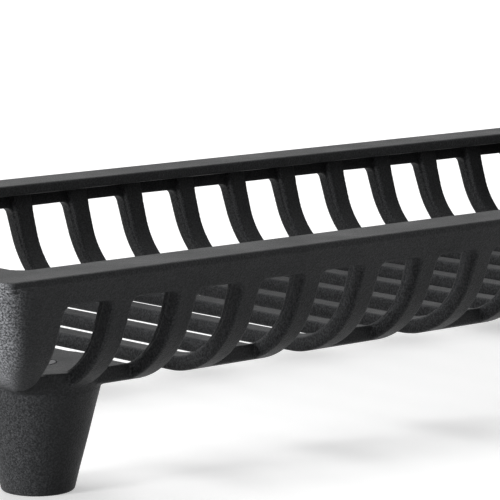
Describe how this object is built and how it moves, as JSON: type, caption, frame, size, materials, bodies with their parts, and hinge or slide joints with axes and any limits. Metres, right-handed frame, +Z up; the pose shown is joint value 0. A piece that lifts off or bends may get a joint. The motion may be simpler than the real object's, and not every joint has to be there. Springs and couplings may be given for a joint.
{
  "type": "log grate",
  "caption": "Cast-iron fireplace log grate: an open rectangular basket with a flat rim, slotted walls that curve into a barred floor, and tapered round legs.",
  "frame": {"origin": "on the hearth, midway between the four feet, under the middle of the basket", "axes": "+Z up, +X along the grate towards its right end as seen from the front, -Y towards the front"},
  "size_m": [0.727, 0.331, 0.127],
  "materials": {
    "cast_iron": "sand cast, satin black stove paint",
    "fasteners": "black oxide"
  },
  "bodies": {
    "root": {"basket": "cast_iron", "leg_front_left": "cast_iron", "leg_front_right": "cast_iron", "leg_back_left": "cast_iron", "leg_back_right": "cast_iron", "leg_bolt_front_left": "fasteners", "leg_bolt_front_right": "fasteners", "leg_bolt_back_left": "fasteners", "leg_bolt_back_right": "fasteners", "washer_front_left": "fasteners", "washer_front_right": "fasteners", "washer_back_left": "fasteners", "washer_back_right": "fasteners", "nut_front_left": "fasteners", "nut_front_right": "fasteners", "nut_back_left": "fasteners", "nut_back_right": "fasteners"}
  },
  "joints": []
}
